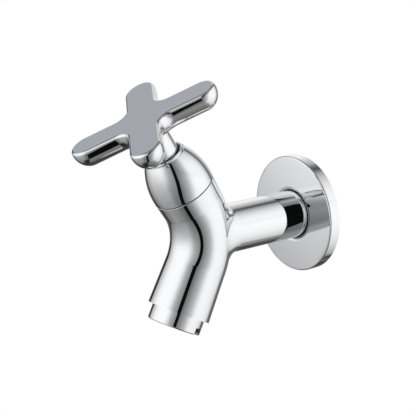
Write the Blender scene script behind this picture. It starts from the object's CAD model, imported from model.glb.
import math
import bmesh
import bpy
import numpy as np
from mathutils import Matrix, Vector


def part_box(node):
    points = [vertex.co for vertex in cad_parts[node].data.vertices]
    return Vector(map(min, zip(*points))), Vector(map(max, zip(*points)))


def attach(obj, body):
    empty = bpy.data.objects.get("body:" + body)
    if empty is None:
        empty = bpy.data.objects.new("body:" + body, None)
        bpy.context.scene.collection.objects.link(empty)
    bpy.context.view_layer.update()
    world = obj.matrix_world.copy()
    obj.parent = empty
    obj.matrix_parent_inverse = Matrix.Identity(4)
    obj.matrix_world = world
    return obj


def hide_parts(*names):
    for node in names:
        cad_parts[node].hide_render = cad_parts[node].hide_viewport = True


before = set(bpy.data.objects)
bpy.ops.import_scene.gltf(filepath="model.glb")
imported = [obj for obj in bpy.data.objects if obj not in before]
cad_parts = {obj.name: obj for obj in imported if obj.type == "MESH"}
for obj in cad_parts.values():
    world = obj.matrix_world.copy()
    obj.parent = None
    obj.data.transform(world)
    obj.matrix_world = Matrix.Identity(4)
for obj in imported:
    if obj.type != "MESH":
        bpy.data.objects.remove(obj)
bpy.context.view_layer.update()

# Body
# One hollow brass casting: inlet tube, elbow, valve branch and spout, with the seat tower inside.
# A right-hand pipe thread is cut on the inlet. It is then ground, buffed on cloth wheels and chrome
# plated all over, so only long soft waves of the buffing are left in the mirror.


def start_finish(name, metallic, coat=0.0):
    """New finish: its material, its tree, its shader and the place on the piece in metres."""
    material = bpy.data.materials.new(name)
    material.use_nodes = True
    tree = material.node_tree
    shader = tree.nodes["Principled BSDF"]
    shader.inputs["Metallic"].default_value = metallic
    shader.inputs["Coat Weight"].default_value = coat
    place = tree.nodes.new("ShaderNodeTexCoord").outputs["Object"]
    return material, tree, shader, place


def grain(tree, place, size, detail):
    """Cloudy pattern whose grains are about so large, in metres."""
    noise = tree.nodes.new("ShaderNodeTexNoise")
    noise.inputs["Scale"].default_value = 1 / size
    noise.inputs["Detail"].default_value = detail
    tree.links.new(place, noise.inputs["Vector"])
    return noise.outputs["Fac"]


def give_tone(tree, shader, pattern, first, second):
    """Colour that follows a pattern from one tone to another."""
    mix = tree.nodes.new("ShaderNodeMix")
    mix.data_type = "RGBA"
    tone_sockets = [socket for socket in mix.inputs if socket.type == "RGBA"]
    for socket, tone in zip(tone_sockets, (first, second)):
        socket.default_value = (*tone, 1)
    mixed = next(socket for socket in mix.outputs if socket.type == "RGBA")
    tree.links.new(pattern, mix.inputs["Factor"])
    tree.links.new(mixed, shader.inputs["Base Color"])


pattern_low = 0.3
pattern_high = 0.7


def give_haze(tree, shader, pattern, low, high):
    """Roughness that follows a pattern from low to high."""
    ramp = tree.nodes.new("ShaderNodeMapRange")
    ramp.inputs["From Min"].default_value = pattern_low
    ramp.inputs["From Max"].default_value = pattern_high
    ramp.inputs["To Min"].default_value = low
    ramp.inputs["To Max"].default_value = high
    tree.links.new(pattern, ramp.inputs["Value"])
    tree.links.new(ramp.outputs["Result"], shader.inputs["Roughness"])


def give_relief(tree, shader, pattern, height):
    """Relief of a pattern, so high in metres."""
    bump = tree.nodes.new("ShaderNodeBump")
    bump.inputs["Strength"].default_value = 1
    bump.inputs["Distance"].default_value = height
    tree.links.new(pattern, bump.inputs["Height"])
    tree.links.new(bump.outputs["Normal"], shader.inputs["Normal"])


def wear_finish(material, *names):
    """Dress some of the tap's solids in a finish."""
    for name in names:
        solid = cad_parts[name]
        solid.data.materials.clear()
        solid.data.materials.append(material)


chrome, tree, shader, place = start_finish("polished_chrome", metallic=1)
plate_cloud = grain(tree, place, size=0.03, detail=2)
wheel_haze = grain(tree, place, size=0.004, detail=2)
buffing_wave = grain(tree, place, size=0.016, detail=1)
give_tone(tree, shader, plate_cloud, (0.765, 0.785, 0.805), (0.795, 0.808, 0.82))
give_haze(tree, shader, wheel_haze, low=0.01, high=0.02)
give_relief(tree, shader, buffing_wave, height=0.000004)

hair = 0.00002


def off_inlet(corner):
    """How far a corner lies from the inlet's axis."""
    return math.hypot(corner.co.x, corner.co.z)


def round_inlet(corner):
    """Angle of a corner round the inlet's axis."""
    return math.atan2(corner.co.x, corner.co.z)


def near(value, target):
    """Whether two sizes are the same to a hair."""
    return abs(value - target) < hair


def cut_away(mesh, goes):
    """Take off the faces whose corners all pass a test."""
    faces = [face for face in mesh.faces if all(goes(corner) for corner in face.verts)]
    bmesh.ops.delete(mesh, geom=faces, context="FACES")


def open_ring(mesh, level, radius):
    """Open corners round the inlet's axis at one level, welded and put in order."""
    ring = [
        corner for corner in mesh.verts
        if corner.is_boundary and near(corner.co.y, level) and near(off_inlet(corner), radius)
    ]
    bmesh.ops.remove_doubles(mesh, verts=ring, dist=hair)
    return sorted((corner for corner in ring if corner.is_valid), key=round_inlet)


def grow_rows(mesh, ring, rows):
    """Rows of new corners on a ring, given by their places, with smooth faces from each to the next."""
    for places in rows:
        row = [mesh.verts.new(spot) for spot in places]
        for k in range(len(row)):
            mesh.faces.new((ring[k - 1], ring[k], row[k], row[k - 1])).smooth = True
        ring = row
    return ring


def close_gap(mesh, ring, other, way):
    """Flat faces between two rings, turned one way along the inlet's axis."""
    edges = [mesh.edges.get((loop[k - 1], loop[k])) for loop in (ring, other) for k in range(len(loop))]
    for face in bmesh.ops.bridge_loops(mesh, edges=edges)["faces"]:
        face.smooth = False
        face.normal_update()
        if face.normal.y * way < 0:
            face.normal_flip()


def new_piece(name, mesh, material):
    """Piece from a finished mesh."""
    shape = bpy.data.meshes.new(name)
    mesh.to_mesh(shape)
    mesh.free()
    shape.materials.append(material)
    piece = bpy.data.objects.new(name, shape)
    bpy.context.scene.collection.objects.link(piece)
    return piece


thread_radius = 0.0104775
thread_length = 0.015
thread_pitch = 0.001814
thread_depth = 0.00116
thread_run_out = 0.002
thread_chamfer = 0.00125
flank_sharpness = 0.97
rows_a_turn = 12
bore_radius = 0.006

casting = bmesh.new()
casting.from_mesh(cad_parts["tap_body"].data)
inlet_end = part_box("tap_body")[1][1]
shoulder = inlet_end - thread_length
cut_away(casting, lambda corner: corner.co.y > shoulder - hair and near(off_inlet(corner), thread_radius))
cut_away(casting, lambda corner: near(corner.co.y, inlet_end))
foot = open_ring(casting, shoulder, thread_radius)
mouth = open_ring(casting, inlet_end, bore_radius)
angles = [round_inlet(corner) for corner in foot]
thread_rows = round(thread_length / thread_pitch * rows_a_turn)
rows = []
for row in range(1, thread_rows + 1):
    along = thread_length * row / thread_rows
    widest = thread_radius - max(0, along - thread_length + thread_chamfer)
    deepest = thread_depth * min(1, along / thread_run_out)
    places = []
    for angle in angles:
        turn = math.tau * (shoulder + along) / thread_pitch - angle
        wave = math.asin(flank_sharpness * math.sin(turn)) / math.asin(flank_sharpness)
        radius = min(widest, thread_radius - deepest * (1 - wave) / 2)
        places.append((radius * math.sin(angle), shoulder + along, radius * math.cos(angle)))
    rows.append(places)
close_gap(casting, grow_rows(casting, foot, rows), mouth, way=1)
threaded_body = new_piece("threaded_body", casting, chrome)
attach(threaded_body, "tap")
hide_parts("tap_body")

# Seat and headwork
# The quarter-turn valve is a brass barrel turned from bar and screwed into the valve branch on a
# red fibre gasket. It holds two lapped alumina discs over a rubber seat seal, and the spindle
# turns in it on a plastic slip washer, two rubber rings and a spring clip.
valve_lean = math.radians(29.7)
tool_step = 0.00018
tool_wander = 0.6
plain_wave_step = math.pi / 10

brass, tree, shader, place = start_finish("turned_brass", metallic=1)
along_valve = tree.nodes.new("ShaderNodeMapping")
along_valve.inputs["Rotation"].default_value = (-valve_lean, 0, 0)
tree.links.new(place, along_valve.inputs["Vector"])
tool_marks = tree.nodes.new("ShaderNodeTexWave")
tool_marks.bands_direction = "Z"
tool_marks.inputs["Scale"].default_value = plain_wave_step / tool_step
tool_marks.inputs["Distortion"].default_value = tool_wander
tree.links.new(along_valve.outputs["Vector"], tool_marks.inputs["Vector"])
tarnish = grain(tree, place, size=0.004, detail=5)
give_tone(tree, shader, tarnish, (0.74, 0.56, 0.27), (0.62, 0.44, 0.19))
give_haze(tree, shader, tarnish, low=0.2, high=0.36)
give_relief(tree, shader, tool_marks.outputs["Fac"], height=0.000006)
wear_finish(brass, "headwork_barrel", "spindle")

alumina, tree, shader, place = start_finish("lapped_alumina", metallic=0, coat=0.3)
speckle = grain(tree, place, size=0.0003, detail=3)
give_tone(tree, shader, speckle, (0.9, 0.89, 0.85), (0.95, 0.94, 0.92))
give_haze(tree, shader, speckle, low=0.14, high=0.26)
give_relief(tree, shader, speckle, height=0.000002)
wear_finish(alumina, "fixed_disc", "moving_disc")

rubber, tree, shader, place = start_finish("moulded_rubber", metallic=0)
bloom = grain(tree, place, size=0.0025, detail=6)
mould_skin = grain(tree, place, size=0.00025, detail=3)
give_tone(tree, shader, bloom, (0.012, 0.012, 0.013), (0.028, 0.028, 0.028))
give_haze(tree, shader, bloom, low=0.5, high=0.72)
give_relief(tree, shader, mould_skin, height=0.000012)
wear_finish(rubber, "seat_seal", "spindle_o_rings")

strand_slimness = 6
fibre, tree, shader, place = start_finish("pressed_fibre", metallic=0)
strands = tree.nodes.new("ShaderNodeMapping")
strands.inputs["Scale"].default_value = (1, strand_slimness, strand_slimness)
tree.links.new(place, strands.inputs["Vector"])
strand = grain(tree, strands.outputs["Vector"], size=0.0015, detail=6)
give_tone(tree, shader, strand, (0.26, 0.1, 0.07), (0.46, 0.24, 0.17))
give_haze(tree, shader, strand, low=0.8, high=0.95)
give_relief(tree, shader, strand, height=0.00004)
wear_finish(fibre, "headwork_gasket")

white_plastic, tree, shader, place = start_finish("white_acetal", metallic=0)
pellet = grain(tree, place, size=0.0006, detail=4)
give_tone(tree, shader, pellet, (0.78, 0.78, 0.75), (0.85, 0.85, 0.83))
give_haze(tree, shader, pellet, low=0.34, high=0.5)
give_relief(tree, shader, pellet, height=0.000006)
wear_finish(white_plastic, "slip_washer")

steel, tree, shader, place = start_finish("zinc_plated_steel", metallic=1)
spangle = grain(tree, place, size=0.0008, detail=5)
give_tone(tree, shader, spangle, (0.5, 0.51, 0.53), (0.66, 0.66, 0.67))
give_haze(tree, shader, spangle, low=0.25, high=0.45)
give_relief(tree, shader, spangle, height=0.000006)
wear_finish(steel, "circlip")

# Bonnet
# A thin domed brass shroud, turned, buffed and plated like the body, with a rolled lip round its
# mouth. It screws over the branch's spigot, and a rubber ring there keeps it from working loose.
wear_finish(chrome, "bonnet")
wear_finish(rubber, "bonnet_o_ring")

# Glide ring
# A black moulded ring on the bonnet's inner ledge, in which the neck of the handle turns.
# It shows as the dark gap round the neck.
black_plastic, tree, shader, place = start_finish("black_acetal", metallic=0)
mould = grain(tree, place, size=0.0008, detail=3)
give_tone(tree, shader, mould, (0.01, 0.01, 0.011), (0.022, 0.022, 0.022))
give_haze(tree, shader, mould, low=0.4, high=0.48)
give_relief(tree, shader, mould, height=0.000004)
wear_finish(black_plastic, "glide_ring")

# Cross handle
# A brass cross cast in one piece with its neck, flat on top and round on the sides, buffed and
# plated. A plastic sleeve takes up the spindle's splines, and a grub screw holds the handle.
wear_finish(chrome, "cross_handle")
wear_finish(white_plastic, "spline_adapter")
wear_finish(steel, "handle_set_screw")

# Aerator
# A plated brass cup screwed into the spout against a rubber washer, with two notches for its key.
# Inside lie a moulded strainer, a jet plate and a grid that breaks up the stream.
wear_finish(chrome, "aerator_housing")
wear_finish(rubber, "aerator_washer")
wear_finish(white_plastic, "aerator_strainer", "aerator_jet_plate")
wear_finish(black_plastic, "aerator_insert")

# Wall flange
# A cup pressed from brass sheet and plated, with a collar turned in round its hole. The press leaves
# its face a touch domed. A rubber ring in the collar grips the tube, so the flange slides along it.
face_radius = 0.0267
hole_radius = 0.0121
face_dome = 0.0006
dome_shoulder = 0.0008
dome_rows = 16
face_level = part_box("wall_flange")[0][1]


def on_face(corner):
    """Whether a corner lies on the flange's flat face, from the hole to the start of the rim."""
    return near(corner.co.y, face_level) and hole_radius - hair < off_inlet(corner) < face_radius + hair


sheet = bmesh.new()
sheet.from_mesh(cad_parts["wall_flange"].data)
cut_away(sheet, on_face)
rim = open_ring(sheet, face_level, face_radius)[::-1]
hole = open_ring(sheet, face_level, hole_radius)[::-1]
rows = []
for row in range(1, dome_rows):
    radius = hole_radius + (face_radius - hole_radius) * (1 - row / dome_rows) ** 2
    share = radius / face_radius
    rise = face_dome * (1 - share ** 2) * math.sqrt(min(1, (radius - hole_radius) / dome_shoulder))
    rows.append([(corner.co.x * share, face_level - rise, corner.co.z * share) for corner in rim])
close_gap(sheet, grow_rows(sheet, rim, rows), hole, way=-1)
domed_flange = new_piece("domed_flange", sheet, chrome)
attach(domed_flange, "flange")
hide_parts("wall_flange")
wear_finish(rubber, "flange_grip_ring")

# Studio tent
# White cloth hung round the tap on a big hoop and lit from outside, in panels whose light falls off
# towards their edges, with black flags between them. The camera looks in through a black slit.
# Directions are degrees round the tap and upwards, and each stop is a direction and its light.
tent_radius = 1.2
tent_middle = (0, -0.05, 0)
panel_step = 1.5
panel_softness = 8
band_radius = 0.92 * tent_radius
band_columns = 121
band_softness = 60
lamp_level = 1.13
plain_white = (1, 1, 1)
cool_white = (0.96, 1, 1.06)
warm_white = (1.04, 1, 0.92)


def tent_point(azimuth, elevation, radius):
    """Point of the tent in a direction, given in degrees."""
    turn = math.radians(azimuth)
    rise = math.radians(elevation)
    level = math.cos(rise)
    return Vector((math.sin(turn) * level, -math.cos(turn) * level, math.sin(rise))) * radius


def soften(values, turns):
    """Even out the steps along the first side of an array, with its ends kept."""
    for turn in range(turns):
        values[1:-1] = (values[:-2] + 2 * values[1:-1] + values[2:]) / 4


def hang_cloth(name, points, lights, rows, tint=plain_white):
    """One piece of cloth from columns of so many points, each with its own light."""
    faces = []
    for corner in range(len(points) - rows):
        if (corner + 1) % rows:
            faces.append((corner, corner + 1, corner + rows + 1, corner + rows))
    mesh = bpy.data.meshes.new(name)
    mesh.from_pydata(points, [], faces)
    colours = [part for light in lights for part in (light * tint[0], light * tint[1], light * tint[2], 1)]
    mesh.color_attributes.new("glow", "FLOAT_COLOR", "POINT").data.foreach_set("color", colours)
    cloth = bpy.data.materials.new(name)
    cloth.use_nodes = True
    nodes = cloth.node_tree.nodes
    nodes.clear()
    lit = nodes.new("ShaderNodeEmission")
    lit.inputs["Strength"].default_value = lamp_level
    light = nodes.new("ShaderNodeVertexColor")
    light.layer_name = "glow"
    out = nodes.new("ShaderNodeOutputMaterial")
    cloth.node_tree.links.new(light.outputs["Color"], lit.inputs["Color"])
    cloth.node_tree.links.new(lit.outputs["Emission"], out.inputs["Surface"])
    mesh.materials.append(cloth)
    panel = bpy.data.objects.new(name, mesh)
    bpy.context.scene.collection.objects.link(panel)
    panel.location = tent_middle
    panel.visible_camera = False


def hang_panel(name, azimuths, elevations, glow, fade, fade_end=None, tint=plain_white):
    """Panel with its light along the azimuth, and its fall along the elevation at either side."""
    columns = int((azimuths[1] - azimuths[0]) / panel_step) + 1
    rows = int((elevations[1] - elevations[0]) / panel_step) + 1
    around = np.linspace(*azimuths, columns)
    upward = np.linspace(*elevations, rows)
    share = np.linspace(0, 1, columns)[:, None]
    first = np.interp(upward, *zip(*fade))
    last = np.interp(upward, *zip(*(fade_end or fade)))
    lights = np.interp(around, *zip(*glow))[:, None] * (first * (1 - share) + last * share)
    soften(lights, panel_softness)
    soften(lights.T, panel_softness)
    points = [tent_point(azimuth, elevation, tent_radius) for azimuth in around for elevation in upward]
    hang_cloth(name, points, lights.ravel(), rows, tint)


def hang_band(name, path, half_width, light):
    """Narrow strip in front of the panels, along a smooth path of directions."""
    azimuths, elevations = zip(*path)
    spots = np.linspace(0, len(path) - 1, band_columns)
    line = np.column_stack([np.interp(spots, range(len(path)), way) for way in (azimuths, elevations)])
    soften(line, band_softness)
    points = []
    for (azimuth, elevation), run in zip(line, np.gradient(line, axis=0)):
        shrink = math.cos(math.radians(elevation))
        run = np.array((run[0] * shrink, run[1]))
        aside, upward = np.array((-run[1], run[0])) / np.linalg.norm(run) * half_width
        for way in (-1, 1):
            points.append(tent_point(azimuth + way * aside / shrink, elevation + way * upward, band_radius))
    hang_cloth(name, points, [light] * len(points), rows=2)


left_panel_end = [
    (-50, 0.34), (-35, 0.44), (-25, 0.54), (-15, 0.75), (-5, 0.92), (5, 1), (36, 1), (54, 0.45),
]
hang_panel(
    "left_panel", (-80, 24), (-50, 54),
    [(-80, 0.45), (-71, 0.6), (-61, 0.76), (-51, 0.95), (-41, 1.03), (-31, 1.07), (-21, 1.08), (0, 1.08),
     (9, 1.03), (14, 0.98), (19, 0.87), (24, 0.72)],
    [(-50, 0.33), (-35, 0.42), (-25, 0.54), (-15, 0.68), (-10, 0.8), (-5, 0.92), (5, 1), (40, 1),
     (54, 0.6)],
    left_panel_end,
)
hang_panel(
    "left_edge_panel", (24, 58), (-50, 54),
    [(24, 0.72), (29, 0.58), (34, 0.47), (39, 0.41), (45, 0.36), (52, 0.29), (58, 0.2)],
    left_panel_end,
    [(-50, 0.55), (-35, 0.68), (-15, 0.88), (5, 1), (30, 0.7), (54, 0.4)],
)
hang_panel(
    "top_flag", (-80, 58), (54, 62),
    [(-80, 0.3), (-40, 0.2), (-18, 0.12), (-8, 0.2), (0, 0.6), (14, 0.6), (27, 0.3), (58, 0.1)],
    [(54, 1), (62, 0.6)],
)
hang_panel(
    "left_top_flag", (-91, -80), (22, 62),
    [(-91, 0.4), (-80, 0.34)],
    [(22, 1), (62, 1)],
    tint=cool_white,
)
hang_band(
    "top_pole",
    [(-76, 44), (-66, 49), (-52, 54), (-38, 57), (-20, 60)],
    half_width=4, light=0.01,
)
hang_band(
    "black_pole",
    [(-95, -12), (-91, 0), (-86, 14), (-82, 22), (-78, 29)],
    half_width=5, light=0.01,
)
hang_panel(
    "right_panel", (58, 184), (-50, 60),
    [(58, 0.2), (66, 0.21), (72, 0.27), (79, 0.36), (89, 0.48), (99, 0.74), (104, 0.91), (109, 1.02),
     (119, 1.09), (149, 1.07), (159, 1.0), (169, 0.88), (175, 0.74), (179, 0.62), (184, 0.36)],
    [(-50, 0.65), (-35, 0.88), (-15, 0.95), (8, 1), (15, 0.8), (24, 0.95), (60, 0.9)],
    [(-50, 0.6), (-35, 0.8), (-25, 0.9), (-15, 0.96), (10, 1), (25, 0.95), (35, 0.86), (45, 0.66),
     (60, 0.3)],
)
hang_panel(
    "right_ground_cloth", (58, 184), (-90, -50),
    [(58, 0.12), (72, 0.2), (100, 0.22), (150, 0.18), (184, 0.1)],
    [(-90, 0.8), (-62, 1), (-50, 1.3)],
    [(-90, 0.8), (-66, 1), (-58, 1.8), (-50, 2.6)],
    tint=warm_white,
)
hang_panel(
    "right_flag", (184, 204), (-50, 60),
    [(184, 0.3), (188, 0.14), (194, 0.14), (199, 0.3), (204, 0.45)],
    [(-50, 0.4), (-25, 0.7), (0, 1), (25, 1), (60, 0.5)],
)
hang_panel(
    "wall_panel", (204, 262), (-50, 22),
    [(204, 0.5), (209, 0.58), (219, 0.75), (229, 0.92), (239, 0.76), (249, 0.55), (256, 0.28), (262, 0.14)],
    [(-50, 0.08), (-25, 0.12), (-18, 0.2), (-12, 0.5), (-5, 0.8), (5, 0.95), (15, 1.05), (22, 1.1)],
    [(-50, 0.1), (-35, 0.15), (-28, 0.5), (-20, 0.68), (-5, 0.8), (5, 0.95), (15, 1.05), (22, 1.1)],
)
hang_panel(
    "wall_top_panel", (204, 250), (22, 60),
    [(204, 0.5), (209, 0.58), (219, 0.75), (229, 0.92), (239, 0.76), (250, 0.62)],
    [(22, 1.1), (60, 0.6)],
)
hang_band(
    "camera_slit",
    [(46, 48), (50, 36), (54, 26), (56, 19), (57.5, 10), (58.5, 0), (59, -10), (58, -20), (57, -30),
     (56, -42), (58, -51), (66, -63)],
    half_width=5.5, light=0.004,
)
hang_band(
    "camera_arm",
    [(38, 44), (45, 33), (50, 23)],
    half_width=3.5, light=0.004,
)
hang_panel(
    "left_flag", (262, 280), (-50, 22),
    [(262, 0.14), (268, 0.06), (280, 0.1)],
    [(-50, 0.4), (-10, 1), (22, 1.3)],
)
hang_panel(
    "left_flag_top", (250, 269), (22, 62),
    [(250, 0.42), (269, 0.42)],
    [(22, 1), (62, 1)],
    tint=cool_white,
)
hang_panel(
    "roof_flag", (-126, 234), (60, 90),
    [(-126, 0.14), (234, 0.14)],
    [(60, 1), (70, 1.2), (80, 2), (90, 2)],
)
hang_panel(
    "ground_cloth", (-80, 58), (-90, -50),
    [(-80, 0.15), (-61, 0.25), (-41, 0.34), (0, 0.36), (9, 0.35), (24, 0.25), (39, 0.18), (58, 0.11)],
    [(-90, 0.05), (-67, 0.1), (-63, 0.9), (-50, 1)],
)
hang_panel(
    "ground_flag", (184, 280), (-90, -50),
    [(184, 0.16), (200, 0.05), (280, 0.04)],
    [(-90, 1), (-50, 1)],
)

# Floor and air
# A wide floor of pale matt paint under the tent, and white air all round it.
# The camera and mirrors see it as plain white, and for all other light it is the matt paint.
floor_level = -1.3
floor_half = 6
floor_tone = (0.85, 0.86, 0.87)
air_light = 1

square = [(-1, -1), (1, -1), (1, 1), (-1, 1)]
floor_points = [(x * floor_half, y * floor_half, floor_level) for x, y in square]
floor_mesh = bpy.data.meshes.new("floor")
floor_mesh.from_pydata(floor_points, [], [(0, 1, 2, 3)])
floor = bpy.data.objects.new("floor", floor_mesh)
bpy.context.scene.collection.objects.link(floor)

pale = bpy.data.materials.new("pale_floor")
pale.use_nodes = True
nodes = pale.node_tree.nodes
links = pale.node_tree.links
nodes.clear()
paint = nodes.new("ShaderNodeBsdfDiffuse")
paint.inputs["Color"].default_value = (*floor_tone, 1)
white = nodes.new("ShaderNodeEmission")
seen = nodes.new("ShaderNodeLightPath")
either = nodes.new("ShaderNodeMixShader")
surface = nodes.new("ShaderNodeOutputMaterial")
seen_at_all = seen.outputs["Is Camera Ray"]
for ray in ("Is Glossy Ray", "Is Transmission Ray"):
    both = nodes.new("ShaderNodeMath")
    both.operation = "MAXIMUM"
    links.new(seen_at_all, both.inputs[0])
    links.new(seen.outputs[ray], both.inputs[1])
    seen_at_all = both.outputs["Value"]
links.new(seen_at_all, either.inputs["Fac"])
links.new(paint.outputs["BSDF"], either.inputs[1])
links.new(white.outputs["Emission"], either.inputs[2])
links.new(either.outputs["Shader"], surface.inputs["Surface"])
floor_mesh.materials.append(pale)

air = bpy.data.worlds.new("white_air")
bpy.context.scene.world = air
air.use_nodes = True
air.node_tree.nodes["Background"].inputs["Color"].default_value = (*plain_white, 1)
air.node_tree.nodes["Background"].inputs["Strength"].default_value = air_light

# Camera
# A long lens about half a metre away, to the tap's right and a little above it.
# It is turned by three angles, and its lens and film width are in millimetres.
camera_place = (0.405769, -0.341733, 0.136199)
yaw = math.radians(54.655)
pitch = math.radians(14.082)
roll = math.radians(-2.333)
focal_length = 99.264
film_width = 36
nearest_seen = 0.01

back = Vector((math.sin(yaw) * math.cos(pitch), -math.cos(yaw) * math.cos(pitch), math.sin(pitch)))
level = Vector((math.cos(yaw), math.sin(yaw), 0))
upright = back.cross(level)
right = level * math.cos(roll) + upright * math.sin(roll)
up = upright * math.cos(roll) - level * math.sin(roll)
lens = bpy.data.cameras.new("camera")
lens.sensor_width = film_width
lens.lens = focal_length
lens.clip_start = nearest_seen
camera = bpy.data.objects.new("camera", lens)
bpy.context.scene.collection.objects.link(camera)
camera.matrix_world = Matrix.Translation(camera_place) @ Matrix((right, up, back)).transposed().to_4x4()
bpy.context.scene.camera = camera
bpy.context.scene.view_settings.view_transform = "Standard"
